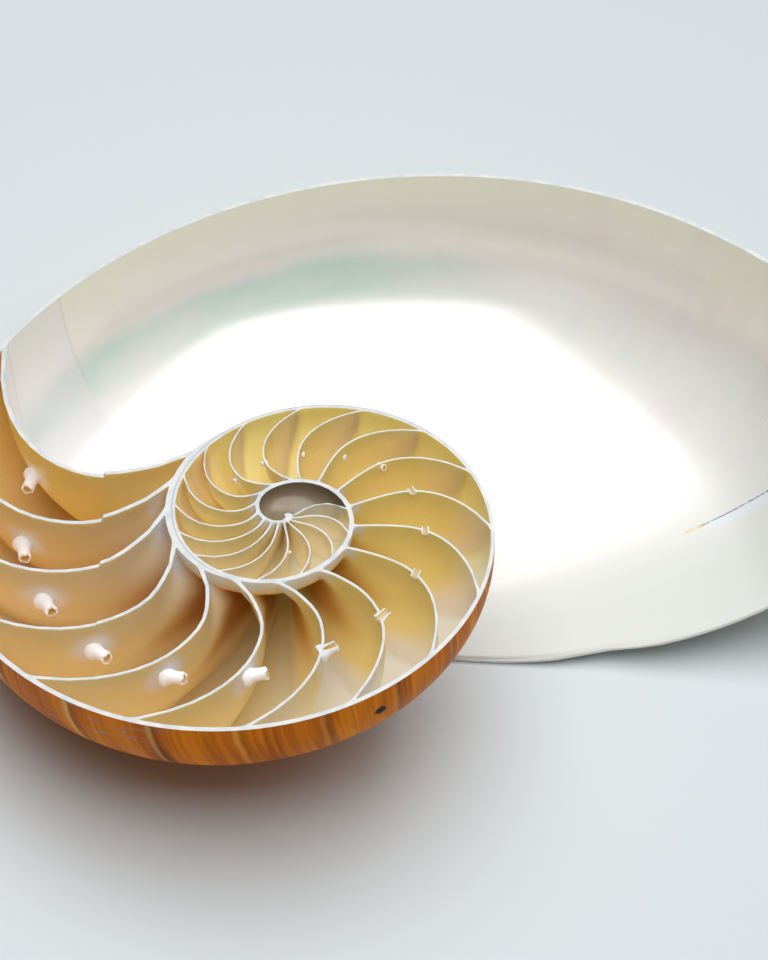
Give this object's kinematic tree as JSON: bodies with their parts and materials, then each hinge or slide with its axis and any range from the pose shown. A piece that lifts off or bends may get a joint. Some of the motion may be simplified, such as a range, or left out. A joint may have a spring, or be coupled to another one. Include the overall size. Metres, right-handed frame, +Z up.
{
  "type": "sawn nautilus shell half",
  "caption": "Half of a chambered nautilus shell, sawn along its coil, showing septa, siphuncle necks and a pearly body chamber; a natural display piece.",
  "frame": {"origin": "middle of the bounding box, on the surface the shell lies on", "axes": "+Z up with the sawn face uppermost, +X towards the mouth end of the body chamber, +Y towards the rounded back of the body chamber"},
  "size_m": [0.1656, 0.1294, 0.0504],
  "materials": {
    "shell": "pearly nacre inside, satin amber chambers, orange-brown outside"
  },
  "bodies": {
    "root": {"shell_half": "shell"}
  },
  "joints": []
}
